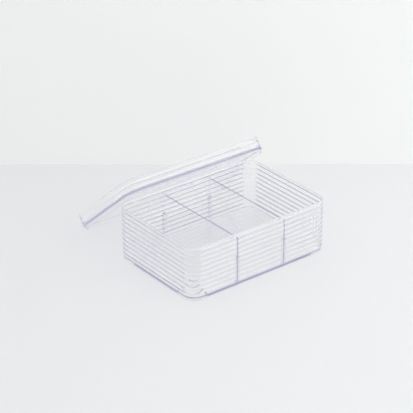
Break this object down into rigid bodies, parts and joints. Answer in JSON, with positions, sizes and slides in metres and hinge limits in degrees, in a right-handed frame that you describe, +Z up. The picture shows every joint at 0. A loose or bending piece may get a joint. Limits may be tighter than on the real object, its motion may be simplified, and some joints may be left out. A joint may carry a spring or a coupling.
{
  "type": "compartment organizer",
  "caption": "Clear reeded box with rounded corners, two lift-out cross dividers in guide slots, and a shallow tray-shaped reeded lid that leans on its back rim.",
  "frame": {"origin": "on the surface that the organizer stands on, under the middle of the bounds of box and leaning lid", "axes": "+X along the long side to the right seen from the front, +Y from the front to the back where the lid leans, +Z up"},
  "size_m": [0.201, 0.2274, 0.1037],
  "materials": {
    "clear_box": "clear moulded styrene, gloss, faint violet cast",
    "clear_divider": "clear moulded styrene, gloss, edges greyer",
    "clear_lid": "clear moulded styrene, gloss, faint violet cast"
  },
  "bodies": {
    "box": {"organizer_box": "clear_box"},
    "left_divider": {"divider_left": "clear_divider"},
    "right_divider": {"divider_right": "clear_divider"},
    "lid": {"lid": "clear_lid"}
  },
  "joints": [
    {"name": "lid_lift", "type": "slide", "parent": "box", "child": "lid", "axis": [0, 0, 1], "range_m": [0, 0.12]},
    {"name": "left_divider_lift", "type": "slide", "parent": "box", "child": "left_divider", "axis": [0, 0, 1], "range_m": [0, 0.009]},
    {"name": "right_divider_lift", "type": "slide", "parent": "box", "child": "right_divider", "axis": [0, 0, 1], "range_m": [0, 0.009]}
  ]
}
